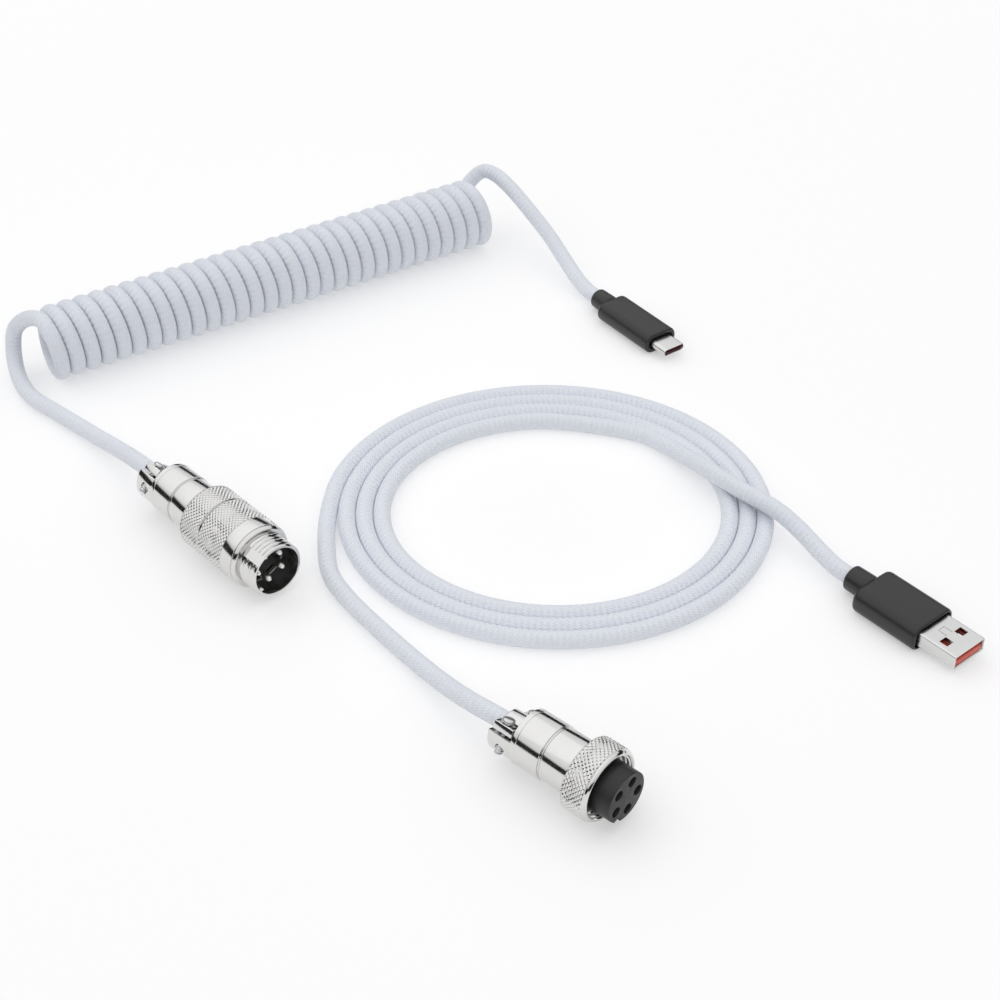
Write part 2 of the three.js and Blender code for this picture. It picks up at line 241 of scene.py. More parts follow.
def loft(rings, closed=False, run=None):
    """A skin over rings of equally many points. UV is the share of the way round and the run in mm."""
    rings = np.array(rings, float)
    count, sides = rings.shape[:2]
    run = run_along(rings[:, 0]) if run is None else run
    faces, uvs = [], []
    for i in range(count if closed else count - 1):
        k = (i + 1) % count
        for j in range(sides):
            m = (j + 1) % sides
            faces.append((i * sides + j, i * sides + m, k * sides + m, k * sides + j))
            ends = (run[i], run[i + 1] if i + 1 < count else run[i])
            uvs += [(j / sides, ends[0]), ((j + 1) / sides, ends[0]),
                    ((j + 1) / sides, ends[1]), (j / sides, ends[1])]
    if not closed:
        for first, order in ((0, -1), (count - 1, 1)):
            cap = [first * sides + j for j in range(sides)][::order]
            faces.append(cap)
            uvs += [(0.5, 0.5)] * sides
    mesh = bpy.data.meshes.new("piece")
    mesh.from_pydata(rings.reshape(-1, 3).tolist(), [], faces)
    layer = mesh.uv_layers.new(name="run")
    layer.data.foreach_set("uv", np.array(uvs, np.float32).ravel())
    return mesh


def softened(profile, radius, closed):
    """The same outline with each corner rounded off; a point with a third value stays as it is."""
    points, made = [tuple(p) for p in profile], []
    for i, point in enumerate(points):
        at_end = not closed and i in (0, len(points) - 1)
        if at_end or len(point) > 2:
            made.append(point)
            continue
        here = np.array(point[:2])
        before, after = (np.array(points[(i + s) % len(points)][:2]) - here for s in (-1, 1))
        reach = [min(radius, np.linalg.norm(v) * 0.45) for v in (before, after)]
        a, b = (here + v / np.linalg.norm(v) * r for v, r in zip((before, after), reach))
        for t in (0, 0.3, 0.7, 1):
            made.append(tuple((1 - t) ** 2 * a + 2 * t * (1 - t) * here + t * t * b))
    return made


AXIS = 0.02  # a turned solid's ends close on a point this close to the axis


def turned(profile, sides=96, radius=0.15, relief=None):
    """A solid of revolution about +X from (x, r) pairs in mm. It is a ring unless it starts on the axis."""
    closed = profile[0][1] > 0
    outline = softened([(x, max(r, AXIS), *flag) for x, r, *flag in profile], radius, closed)
    angles = np.arange(sides) / sides * 2 * math.pi
    rings = []
    for point in outline:
        r = np.full(sides, point[1], float)
        if relief is not None and len(point) > 2:
            r = r + relief(point[0], angles)
        rings.append(np.stack([np.full(sides, point[0]), r * np.cos(angles), r * np.sin(angles)], 1))
    return loft(rings, closed=closed)


def rounded_ring(x, width, height, corner, per_corner=7):
    """A rounded rectangle across X, as a ring of points."""
    corner = min(corner, width / 2 - 1e-3, height / 2 - 1e-3)
    ring = []
    for quarter, (sy, sz) in enumerate(((1, 1), (-1, 1), (-1, -1), (1, -1))):
        for k in range(per_corner):
            angle = (quarter + k / (per_corner - 1)) * math.pi / 2
            ring.append((x, sy * (width / 2 - corner) + corner * math.cos(angle),
                         sz * (height / 2 - corner) + corner * math.sin(angle)))
    return ring


def block(x0, x1, y0, y1, z0, z1):
    """A box between the given limits, for a cut or to be bevelled."""
    mesh = bpy.data.meshes.new("block")
    build = bmesh.new()
    bmesh.ops.create_cube(build, size=1)
    build.to_mesh(mesh)
    build.free()
    scale = Matrix.Diagonal((x1 - x0, y1 - y0, z1 - z0, 1))
    mesh.transform(Matrix.Translation(((x0 + x1) / 2, (y0 + y1) / 2, (z0 + z1) / 2)) @ scale)
    return mesh


def moved(mesh, x=0.0, y=0.0, z=0.0, turn=0.0, about="X"):
    """The same mesh turned about an axis through the origin, then shifted."""
    mesh.transform(Matrix.Translation((x, y, z)) @ Matrix.Rotation(turn, 4, about))
    return mesh


def combined(base, others, operation):
    """Base with the other meshes cut out of it or joined to it."""
    scene = bpy.context.scene
    finish_mesh(base)
    target = bpy.data.objects.new("target", base)
    scene.collection.objects.link(target)
    tools = []
    for other in others:
        finish_mesh(other)
        tool = bpy.data.objects.new("tool", other)
        scene.collection.objects.link(tool)
        tools.append(tool)
        step = target.modifiers.new("step", "BOOLEAN")
        step.operation = operation
        step.solver = "EXACT"
        step.object = tool
    graph = bpy.context.evaluated_depsgraph_get()
    result = bpy.data.meshes.new_from_object(target.evaluated_get(graph))
    for thing in (target, *tools):
        bpy.data.objects.remove(thing)
    return result


def bevelled(mesh, width, segments=3, angle=30):
    """The same mesh with its edges rounded where its faces turn more than the angle."""
    build = bmesh.new()
    build.from_mesh(mesh)
    bmesh.ops.remove_doubles(build, verts=build.verts, dist=1e-5)
    edges = [e for e in build.edges if len(e.link_faces) == 2
             and e.calc_face_angle(0) > math.radians(angle)]
    bmesh.ops.bevel(build, geom=edges, offset=width, segments=segments, profile=0.5, affect="EDGES",
                    clamp_overlap=True)
    build.to_mesh(mesh)
    build.free()
    return mesh


def piece(name, mesh, look, matrix, body, slot, *nodes):
    """Shows a mesh as a piece that rides on a body in place of CAD nodes."""
    finish_mesh(mesh, matrix)
    mesh.materials.clear()
    mesh.materials.append(look)
    shown = bpy.data.objects.new(f"{name}_look", mesh)
    bpy.context.scene.collection.objects.link(shown)
    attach(shown, body)
    if nodes:
        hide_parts(*nodes)
    return shown


def stand(at, heading, height, roll=0.0):
    """The matrix that puts a piece drawn in mm along +X at its place in the row frame."""
    place = Matrix.Translation(world((at[0], at[1], height)))
    turn = Matrix.Rotation(math.radians(heading), 4, "Z") @ Matrix.Rotation(math.radians(roll), 4, "X")
    return place @ turn @ Matrix.Scale(MM, 4)


def joined(*meshes):
    """Several meshes as one."""
    build = bmesh.new()
    for mesh in meshes:
        build.from_mesh(mesh)
    made = bpy.data.meshes.new("joined")
    build.to_mesh(made)
    build.free()
    return made


def extruded(outline, x0, x1):
    """An outline of (y, z) points pushed along +X."""
    count = len(outline)
    points = [(x, y, z) for x in (x0, x1) for y, z in outline]
    faces = [tuple(range(count)), tuple(range(2 * count - 1, count - 1, -1))]
    faces += [(i, (i + 1) % count, count + (i + 1) % count, count + i) for i in range(count)]
    mesh = bpy.data.meshes.new("bar")
    mesh.from_pydata(points, [], faces)
    return mesh


def rod(radius, x0, x1, sides=48):
    """A plain round bar along +X, for a cut or to be cut."""
    return turned([(x0, 0), (x0, radius), (x1, radius), (x1, 0)], sides, radius=0)


def upright(mesh, x=0.0, y=0.0):
    """Stands a piece turned about +X up along +Z."""
    return moved(mesh, x, y, 0, -math.pi / 2, "Y")


def steps(start, end, step):
    """Evenly spaced values from start to end, about a step apart."""
    count = max(2, round((end - start) / step) + 1)
    return [start + (end - start) * i / (count - 1) for i in range(count)]


# ---- cords ----

CORD = 0.005  # the braided sleeve's diameter
CORD_SIDES = 20
CORD_STEP = 0.0013  # between two rings of the tube
COIL_START = Vector((-0.1427, 0.0637, 0.0119))
COIL_HEADING = math.radians(32.6)
COIL_LENGTH = 0.161
COIL_TURNS = 31
COIL_SHOWN_TURNS = 30.75  # the last quarter turn lifts away into the lead
COIL_RADIUS = 0.0094  # to the middle of the cord
POINTS_PER_TURN = 24
CURVE_POINTS = 12  # on the smooth curve between two points of a route
MALE_LEAD = [
    (-0.0914, -0.0083, 0.0097), (-0.0978, -0.0013, 0.0097), (-0.1012, 0.0024, 0.0096),
    (-0.1082, 0.0112, 0.0076), (-0.12, 0.0255, 0.0036), (-0.1347, 0.0391, 0.0028),
    (-0.1455, 0.0488, 0.0028), (-0.1517, 0.0598, 0.0034), (-0.1537, 0.0661, 0.008),
    (-0.1526, 0.0681, 0.0149), (-0.1479, 0.0668, 0.0196),
]
USB_C_LEAD = [
    (-0.011, 0.1604, 0.0172), (-0.006, 0.1616, 0.0212), (-0.002, 0.159, 0.0214), (0.0035, 0.1521, 0.0198),
    (0.0104, 0.1432, 0.0155), (0.0173, 0.134, 0.0104), (0.0228, 0.124, 0.0062), (0.027, 0.115, 0.004),
    (0.03, 0.1096, 0.0034), (0.0329, 0.1056, 0.0034), (0.0344, 0.1035, 0.0034),
]
FEMALE_LEAD = [
    (0.0082, -0.106, 0.0099), (0.0017, -0.1002, 0.0099), (-0.002, -0.0969, 0.0096),
    (-0.0076, -0.0906, 0.0078), (-0.0139, -0.0815, 0.0046), (-0.0216, -0.0712, 0.0028),
    (-0.0316, -0.0588, 0.0026), (-0.0406, -0.0468, 0.0026), (-0.046, -0.037, 0.0026),
    (-0.0484, -0.0235, 0.0025),
]
LOOP_CENTRE = (0.0147, -0.0071)
LOOP_REACH = (0.0634, 0.0593)  # half length and half depth of the first turn, to the middle of the cord
LOOP_PITCH = 0.00502
LOOP_TURNS = 3.25
LOOP_END = [(0.0422, 0.0291, 0.0025), (0.0506, 0.0207, 0.0035), (0.057, 0.0104, 0.006)]
USB_A_LEAD = [
    (0.0619, 0.0022, 0.0077), (0.0696, -0.0066, 0.008), (0.0776, -0.0146, 0.0079),
    (0.0834, -0.0214, 0.0062), (0.0886, -0.0296, 0.0045), (0.0922, -0.0353, 0.004),
    (0.0954, -0.0391, 0.004), (0.0971, -0.0411, 0.004),
]
ALONG = Vector((math.cos(COIL_HEADING), math.sin(COIL_HEADING), 0))
ACROSS = Vector((-ALONG.y, ALONG.x, 0))
UP = Vector((0, 0, 1))


def coil_route():
    """The curly coil, which starts and ends near its top."""
    for i in range(int(COIL_SHOWN_TURNS * POINTS_PER_TURN) + 1):
        turns = i / POINTS_PER_TURN
        angle = math.pi / 2 + turns * 2 * math.pi
        reach = ACROSS * math.cos(angle) + UP * math.sin(angle)
        yield COIL_START + ALONG * (COIL_LENGTH * turns / COIL_TURNS) + reach * COIL_RADIUS


def loop_route():
    """The flat loop on the table, turning inwards by a cord's width a turn."""
    for i in range(int(LOOP_TURNS * POINTS_PER_TURN) + 1):
        turns = i / POINTS_PER_TURN
        angle = math.pi - turns * 2 * math.pi
        a, b = (reach - LOOP_PITCH * turns for reach in LOOP_REACH)
        yield (LOOP_CENTRE[0] + a * math.cos(angle), LOOP_CENTRE[1] + b * math.sin(angle), CORD / 2)


def catmull_rom(p, k, t):
    """The stretch of a centripetal Catmull-Rom curve between the middle two of four points and knots."""
    def mix(a, b, low, high):
        return ((k[high] - t) * a + (t - k[low]) * b) / (k[high] - k[low])
    a = [mix(p[i], p[i + 1], i, i + 1) for i in range(3)]
    b = [mix(a[i], a[i + 1], i, i + 2) for i in range(2)]
    return mix(b[0], b[1], 1, 2)


def smooth(route):
    """Evenly spaced points on a smooth curve through the route, in the row frame."""
    points = np.array([world(p) for p in route])
    points = np.vstack([2 * points[0] - points[1], points, 2 * points[-1] - points[-2]])
    knots = np.concatenate([[0], np.cumsum(np.linalg.norm(np.diff(points, axis=0), axis=1) ** 0.5)])
    line = []
    for i in range(1, len(points) - 2):
        t = np.linspace(knots[i], knots[i + 1], CURVE_POINTS, endpoint=False)[:, None]
        line.append(catmull_rom(points[i - 1:i + 3], knots[i - 1:i + 3], t))
    line = np.vstack([*line, points[-2]])
    run = run_along(line)
    even = np.linspace(0, run[-1], int(run[-1] / CORD_STEP))
    return np.stack([np.interp(even, run, line[:, i]) for i in range(3)], 1)


def tube(path):
    """A round tube along a path, with rings that turn with it and don't twist about it."""
    tangents = np.gradient(path, axis=0)
    tangents /= np.linalg.norm(tangents, axis=1)[:, None]
    side = np.cross(tangents[0], UP)
    angles = np.arange(CORD_SIDES)[:, None] / CORD_SIDES * 2 * math.pi
    rings = []
    for point, tangent in zip(path, tangents):
        side = side - tangent * side.dot(tangent)
        side = side / np.linalg.norm(side)
        other = np.cross(tangent, side)
        rings.append(point + CORD / 2 * (np.cos(angles) * side + np.sin(angles) * other))
    return loft(rings, run=run_along(path) / MM)


def cord_piece(name, path, *nodes):
    """Shows a braided cord along a path, in place of CAD nodes."""
    mesh = tube(path)
    finish_mesh(mesh)
    mesh.materials.append(BRAID)
    shown = bpy.data.objects.new(name, mesh)
    bpy.context.scene.collection.objects.link(shown)
    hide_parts(*nodes)
    return shown


coiled_path = smooth([*MALE_LEAD, *coil_route(), *USB_C_LEAD])
coiled_cord = cord_piece("coiled_cord", coiled_path, "male_lead", "curly_coil", "usb_c_lead")
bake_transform(coiled_cord)

straight_path = smooth([*FEMALE_LEAD, *loop_route(), *LOOP_END, *USB_A_LEAD])
straight_cord = cord_piece("straight_cord", straight_path, "female_lead", "cord_loop", "usb_a_lead")
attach(straight_cord, "straight_half")

# ---- aviator connectors, in mm along +X from the rear of the cable clamp ----

MALE = {"at": (-0.0978, -0.0013), "heading": -47.6, "roll": -50, "height": 0.0097}
FEMALE = {"at": (0.0017, -0.1002), "heading": -41.7, "roll": -27, "height": 0.0099}
CLAMP_LENGTH = 7.0
CLAMP_SCREW_Y, CLAMP_HOLE_R = 5.3, 1.25
CORD_BORE = 2.9
CLEARANCE = 0.3  # between neighbouring pieces
OVERLAP = 0.02  # where solids of the same piece meet
SHELL_START, GROOVE, SHELL_END, TAIL_END = 7.0, 16.0, 24.2, 27.2
REAR_R, FRONT_R, TAIL_R, SHELL_BORE = 7.5, 7.3, 5.9, 5.2
KNURL_R, SLEEVE_END, KNURL_END, BODY_END, BAND_END = 9.7, 33.0, 43.8, 41.2, 49.6
NOSE_R, NOSE_BORE, NOSE_END, SOCKET_FLOOR = 8.0, 7.0, 56.8, 48.5
CONTACT_CIRCLE, PIN_R, HOLE_R = 4.2, 1.1, 1.4
NUT_START, NUT_LIP, NUT_END, NUT_R, NUT_BORE, LIP_BORE = 24.5, 26.5, 32.3, 9.9, 8.3, 7.0
SLEEVE_BORE = TAIL_R + CLEARANCE
LOCK_SCREW_X = 46.2
COLLAR_R, COLLAR_END = 6.7, 28.4  # the collar that the nut turns on
SOCKET_R, SOCKET_START, SOCKET_FRONT = 6.7, 28.7, 37.0  # the female insulator's face
KNURLS = 50  # diamonds round a band
KNURLED_SIDES = KNURLS * 8
KNURL_PITCH = 1.25  # mm, along the axis
KNURL_DEPTH = 0.32
KNURL_SAMPLE = 0.16  # mm, along the axis from one ring of points to the next
THREAD_PITCH = 1.45
THREAD_DEPTH = 0.6
THREAD_SAMPLE = 0.125


def triangle(value):
    """Rises from 0 to 1 and falls back in each unit."""
    return 1 - np.abs(2 * (value % 1) - 1)


def diamonds(x, angles):
    """Diamond knurling: the lower of two crossing helical ridges."""
    round_count = angles / (2 * math.pi) * KNURLS
    return -KNURL_DEPTH * (1 - np.minimum(triangle(round_count + x / KNURL_PITCH),
                                          triangle(round_count - x / KNURL_PITCH)))


def thread(x, angles):
    """A single-start thread: flat crests with a V groove between them."""
    ridge = triangle(x / THREAD_PITCH - angles / (2 * math.pi))
    return -THREAD_DEPTH * (1 - np.minimum(1.6 * ridge, 1))


def band(x0, x1, radius, step):
    """Profile points marked for relief, close enough together to carry it."""
    return [(x, radius, True) for x in steps(x0, x1, step)]


def clamp_holes(x0, x1):
    """Rods through the clamp's two screw holes."""
    return [upright(rod(CLAMP_HOLE_R, x0, x1, 24), CLAMP_LENGTH / 2, side * CLAMP_SCREW_Y)
            for side in (-1, 1)]


def back_shell():
    """The back shell, with a groove round it, and the fixed jaw of the cable clamp behind it."""
    body = turned([
        (SHELL_START, CORD_BORE), (SHELL_START, REAR_R), (8.3, REAR_R), (8.4, REAR_R - 0.12),
        (8.5, REAR_R), (GROOVE - 0.35, REAR_R), (GROOVE - 0.3, REAR_R - 0.55),
        (GROOVE + 0.2, REAR_R - 0.55), (GROOVE + 0.3, FRONT_R), (SHELL_END, FRONT_R),
        (SHELL_END, TAIL_R), (TAIL_END, TAIL_R), (TAIL_END, SHELL_BORE), (SHELL_START + 3, SHELL_BORE),
        (SHELL_START + 3, CORD_BORE)], radius=0.22)
    jaw_cuts = [block(-1, 9, -10, 10, -0.4, 10), rod(CORD_BORE, -1, 9), *clamp_holes(-10, 2)]
    jaw = bevelled(combined(rod(REAR_R - 0.3, 0, SHELL_START + 0.4), jaw_cuts, "DIFFERENCE"), 0.18)
    return joined(body, jaw)


def clamp_bar():
    """Two flat ears joined by an arch over the cord."""
    ear, ear_top, arch = 7.2, 2.5, 4.2
    foot = math.asin(ear_top / arch)
    top = [(arch * math.cos(a), arch * math.sin(a)) for a in steps(foot, math.pi - foot, 0.12)]
    under = [(CORD_BORE * math.cos(a), CORD_BORE * math.sin(a)) for a in steps(math.pi - 0.1, 0.1, -0.15)]
    bar = extruded([(ear, 0.3), (ear, ear_top), *top, (-ear, ear_top), (-ear, 0.3), *under], 0.8, 6.7)
    return bevelled(combined(bar, clamp_holes(-1, 5), "DIFFERENCE"), 0.22)


def clamp_screw():
    """A pan-head screw with a slot, standing along +Z on the clamp bar's ear."""
    shank = turned([(-5.8, 0), (-5.8, 0.8), (-5.5, 1.0), *band(-5.4, 2.6, 1.0, 0.12), (2.8, 1.0), (2.8, 0)],
                   32, radius=0.1, relief=lambda x, a: 0.3 * thread(x * 2, a))
    head = turned([(2.75, 0), (2.75, 1.7), (3.5, 1.7), (3.9, 1.2), (4.0, 0)], 40, radius=0.3)
    slotted = combined(head, [block(3.45, 5, -0.28, 0.28, -3, 3)], "DIFFERENCE")
    return upright(joined(shank, slotted))


def cable_end(prefix, matrix, body):
    """The back shell, the clamp bar and its two screws, each left at its own angle."""
    for name, mesh in ((f"{prefix}_back_shell", back_shell()), (f"{prefix}_clamp_bar", clamp_bar())):
        piece(name, mesh, NICKEL, matrix, body, "nickel", name)
    for side, where, turn in ((-1, "near", 0.5), (1, "far", -0.35)):
        name = f"{prefix}_clamp_screw_{where}"
        screw = moved(clamp_screw(), CLAMP_LENGTH / 2, side * CLAMP_SCREW_Y, turn=turn, about="Z")
        piece(name, screw, STEEL, matrix, body, "steel", name)


def contact_places():
    """One contact points at the clamp bar; the key lies opposite it."""
    angles = [math.pi / 2 + i / 5 * 2 * math.pi for i in range(5)]
    return [(CONTACT_CIRCLE * math.cos(a), CONTACT_CIRCLE * math.sin(a)) for a in angles]


def knurled_sleeve():
    start = SHELL_END + CLEARANCE
    return turned([
        (start, SLEEVE_BORE), (start, KNURL_R - 0.9), (SHELL_END + 0.9, KNURL_R - 0.1),
        *band(SHELL_END + 1.0, SLEEVE_END - 0.35, KNURL_R, KNURL_SAMPLE), (SLEEVE_END - 0.2, KNURL_R - 0.3),
        (SLEEVE_END, KNURL_R - 0.7), (SLEEVE_END, SLEEVE_BORE)], KNURLED_SIDES, 0.1, diamonds)


def socket_body():
    """A knurled band, a smooth band with its screw hole, and a threaded nose with a keyway and a key."""
    start = SLEEVE_END + CLEARANCE
    knurled = turned([
        (start, SLEEVE_BORE), (start, KNURL_R - 0.7), (SLEEVE_END + 0.5, KNURL_R - 0.3),
        *band(SLEEVE_END + 0.65, KNURL_END - 0.1, KNURL_R, KNURL_SAMPLE), (KNURL_END, KNURL_R - 0.2),
        (KNURL_END, NOSE_BORE), (BODY_END, NOSE_BORE), (BODY_END, SLEEVE_BORE)], KNURLED_SIDES, 0.1, diamonds)
    start = KNURL_END - OVERLAP
    smooth_band = turned([
        (start, NOSE_BORE), (start, KNURL_R - 0.15), (BAND_END - 1.3, KNURL_R - 0.15),
        (BAND_END - 1.25, KNURL_R - 0.5), (BAND_END - 1.0, KNURL_R - 0.5), (BAND_END - 0.95, KNURL_R - 0.2),
        (BAND_END, KNURL_R - 0.8), (BAND_END, NOSE_BORE)], 144, 0.14)
    screw_hole = upright(rod(1.1, 8.6, 12, 32), LOCK_SCREW_X, 0)
    smooth_band = combined(smooth_band, [screw_hole], "DIFFERENCE")
    start = BAND_END - OVERLAP
    nose = turned([
        (start, NOSE_BORE), (start, NOSE_R - 0.45), (BAND_END + 0.6, NOSE_R - 0.45),
        *band(BAND_END + 0.7, NOSE_END - 0.7, NOSE_R, THREAD_SAMPLE), (NOSE_END - 0.6, NOSE_R - 0.2),
        (NOSE_END, NOSE_R - 0.45), (NOSE_END, NOSE_BORE)], 120, 0.12, thread)
    keyway = block(BAND_END + 0.5, NOSE_END + 1, -NOSE_R - 1, -NOSE_R + 0.72, -1.5, 1.5)
    nose = combined(nose, [keyway], "DIFFERENCE")
    key = bevelled(block(SOCKET_FLOOR, NOSE_END - 0.8, -0.8, 0.8, -NOSE_BORE - 0.3, -NOSE_BORE + 0.9), 0.3)
    return joined(knurled, smooth_band, nose, key)


def lock_screw():
    """The slotted grub screw in the smooth band's hole."""
    screw = turned([(8.0, 0), (8.0, 1.02), (9.15, 1.02), (9.15, 0)], 32, 0.12)
    screw = combined(screw, [block(8.8, 10, -0.2, 0.2, -2, 2)], "DIFFERENCE")
    return upright(screw, LOCK_SCREW_X, 0)


def male_connector():
    matrix, body = stand(MALE["at"], MALE["heading"], MALE["height"], MALE["roll"]), "coiled_half"
    cable_end("male", matrix, body)
    piece("male_knurled_sleeve", knurled_sleeve(), NICKEL, matrix, body, "nickel", "male_knurled_sleeve")
    piece("male_socket_body", socket_body(), NICKEL, matrix, body, "nickel", "male_socket_body")
    piece("male_lock_screw", lock_screw(), STEEL, matrix, body, "steel")

    holes = [moved(rod(PIN_R + 0.12, 30, 60, 24), 0, y, z) for y, z in contact_places()]
    start, end, radius = BODY_END + CLEARANCE, SOCKET_FLOOR - CLEARANCE, NOSE_BORE - CLEARANCE
    face = turned([(start, 0), (start, radius), (end, radius), (end, 0)], 96, 0.25)
    piece("male_insulator", combined(face, holes, "DIFFERENCE"), INSERT, matrix, body, "black_insert",
          "male_insulator")
    for i, (y, z) in enumerate(contact_places(), 1):
        name = f"male_pin_{i}"
        pin = turned([(38, 0), (38, PIN_R), (52.9, PIN_R), (53.9, PIN_R * 0.72), (54.4, PIN_R * 0.35),
                      (54.4, 0)], 32, 0.4)
        piece(name, moved(pin, 0, y, z), SILVER, matrix, body, "contact_silver", name)


def socket_face():
    """The female insulator: a drum with five holes and a key notch."""
    start, end, radius = SOCKET_START, SOCKET_FRONT, SOCKET_R
    face = turned([(TAIL_END + CLEARANCE, 0), (TAIL_END + CLEARANCE, TAIL_R), (start, TAIL_R),
                   (start, radius), (end, radius), (end, 0)], 128, 0.25)
    cuts = [moved(rod(HOLE_R, 20, 40, 32), 0, y, z) for y, z in contact_places()]
    notch = extruded([(-1.5, -radius - 1), (1.5, -radius - 1), (1.2, -radius + 0.6), (0, -radius + 1.3),
                      (-1.2, -radius + 0.6)], start + 1, end + 1)
    return bevelled(combined(face, [*cuts, notch], "DIFFERENCE"), 0.08, 2, 50)


def nut():
    """The coupling nut, with a lip behind the collar and a thread inside."""
    knurl_end = NUT_END - 1.1
    outside = turned([
        (NUT_START, LIP_BORE), (NUT_START, NUT_R - 0.9), (NUT_START + 0.5, NUT_R - 0.2),
        *band(NUT_START + 0.6, knurl_end, NUT_R, KNURL_SAMPLE), (knurl_end + 0.05, NUT_R - 0.35),
        (NUT_END - 0.6, NUT_R - 0.4), (NUT_END, NUT_R - 0.9), (NUT_END, NUT_BORE + 0.35),
        (NUT_END - 0.5, NUT_BORE), (NUT_LIP, NUT_BORE), (NUT_LIP, LIP_BORE)], KNURLED_SIDES, 0.14, diamonds)
    inside = turned([
        (NUT_LIP + 0.1, NUT_BORE + 0.1),
        *band(NUT_LIP + 0.2, NUT_END - 0.7, NUT_BORE - OVERLAP, THREAD_SAMPLE),
        (NUT_END - 0.6, NUT_BORE + 0.1)], 120, 0.05, lambda x, a: -0.7 * thread(x, a) - 0.3)
    return joined(outside, inside)


def female_connector():
    matrix, body = stand(FEMALE["at"], FEMALE["heading"], FEMALE["height"], FEMALE["roll"]), "straight_half"
    cable_end("female", matrix, body)
    start, step, flange = SHELL_END + CLEARANCE, NUT_LIP + CLEARANCE, 7.9
    core = turned([(start, SLEEVE_BORE), (start, COLLAR_R), (step, COLLAR_R), (step, flange),
                   (COLLAR_END, flange), (COLLAR_END, SLEEVE_BORE)])
    piece("female_core", core, STEEL, matrix, body, "steel", "female_core")
    piece("female_insulator", socket_face(), INSERT, matrix, body, "black_insert", "female_insulator")
    for i, (y, z) in enumerate(contact_places(), 1):
        name = f"female_contact_{i}"
        contact = turned([(SOCKET_START - 0.7, 0.7), (SOCKET_START - 0.7, 1.1), (SOCKET_FRONT - 1.2, 1.1),
                          (SOCKET_FRONT - 1.0, 0.95), (SOCKET_FRONT - 1.0, 0.7)], 32, 0.05)
        piece(name, moved(contact, 0, y, z), SILVER, matrix, body, "contact_silver", name)
    piece("coupling_nut", nut(), NICKEL, matrix, "nut", "nickel", "coupling_nut")


male_connector()
female_connector()

# ---- USB plugs, in mm along +X from the rear of the strain relief ----

USB_A = {"at": (0.0954, -0.0391), "heading": -50, "neck": 3.8, "front": 28.0, "tip": 40.0, "width": 16.0,
         "height": 8.0, "corner": 3.4, "shell": (12.0, 4.5), "shell_corner": 0.6, "cavity": 14.0,
         "hood": 1.3, "gap": 0.8, "tail": 15.0}
USB_C = {"at": (0.0329, 0.1056), "heading": -54, "neck": 3.4, "front": 32.5, "tip": 39.15, "width": 12.4,
         "height": 6.8, "corner": 3.2, "shell": (8.34, 2.56), "shell_corner": 1.26, "cavity": 10.0,
         "hood": 1.2, "gap": 0.75, "tail": 25.8}
NECK_END, HOUSING_REAR = 6.2, 6.5
SHELL_WALL = 0.3


def housing(plug):
    """A moulded housing with rounded ends, and a hood round the metal shell at its front."""
    width, height, corner, front = (plug[k] for k in ("width", "height", "corner", "front"))
    across, tall = plug["shell"]

    def outer(x, inset):
        return rounded_ring(x, width - 2 * inset, height - 2 * inset, max(corner - inset, 0.8), 9)

    def inner(x, gap):
        return rounded_ring(x, across + 2 * gap, tall + 2 * gap, plug["shell_corner"] + gap, 9)

    rear_round, front_round = 1.6, 0.7
    quarter = [i / 6 * math.pi / 2 for i in range(7)]
    rings = [outer(HOUSING_REAR, height / 2 - 0.6)]
    rings += [outer(HOUSING_REAR + rear_round * (1 - math.sin(a)), rear_round * (1 - math.cos(a)))
              for a in reversed(quarter)]
    rings += [outer(x, 0) for x in steps(HOUSING_REAR + rear_round, front - front_round, 2.5)[1:-1]]
    rings += [outer(front - front_round * (1 - math.sin(a)), front_round * (1 - math.cos(a)))
              for a in quarter]
    gap, hood_end = plug["gap"], front - plug["hood"]
    rings += [inner(front, gap + 0.15), inner(front - 0.15, gap), inner(hood_end, gap), inner(hood_end, 0.3),
              inner(plug["cavity"], 0.3), inner(plug["cavity"], -0.6)]
    return loft(rings)


def strain_relief(plug):
    """A short sleeve that swells into the housing, bored from the rear for the cord."""
    neck = plug["neck"]
    root = NECK_END + 0.9
    return turned([(0, 2.6), (0, neck - 0.1), (5.0, neck), (NECK_END + 0.1, neck), (root, neck - 0.4),
                   (root, 0.6), (3, 0.6), (3, 2.6)], 72, 0.55)


def metal_shell(plug):
    """A folded metal shell, open at its front, with its mouth's edge rounded."""
    across, tall = plug["shell"]

    def ring(x, inset):
        return rounded_ring(x, across - 2 * inset, tall - 2 * inset, plug["shell_corner"] - inset, 9)

    tail, tip, wall = plug["tail"], plug["tip"], SHELL_WALL
    rings = [ring(tail, wall), ring(tail, 0), ring(tip - 0.35, 0), ring(tip - 0.12, 0.05), ring(tip, 0.14),
             ring(tip, wall - 0.06), ring(tip - 0.1, wall)]
    return loft(rings, closed=True)


def plug_body(prefix, plug, matrix, body):
    """The two moulded pieces of a plug."""
    return [piece(name, mesh, BLACK, matrix, body, "black_plastic", name) for name, mesh in
            ((f"{prefix}_strain_relief", strain_relief(plug)), (f"{prefix}_housing", housing(plug)))]


def usb_a_shell():
    """The shell with two latch windows in its roof, and a C-shaped groove behind them."""
    tip, roof, half_window, groove = USB_A["tip"], USB_A["shell"][1] / 2, 1.3, 0.22
    cuts = [block(tip - 6.8, tip - 4.2, side * 3 - half_window, side * 3 + half_window, 1, 3)
            for side in (-1, 1)]
    cuts += [block(tip - 9.8, tip - 9.45, -1.3, 1.3, roof - groove, 3),
             block(tip - 9.8, tip - 6.9, -1.3, -0.98, roof - groove, 3),
             block(tip - 9.8, tip - 6.9, 0.98, 1.3, roof - groove, 3)]
    return combined(metal_shell(USB_A), cuts, "DIFFERENCE")


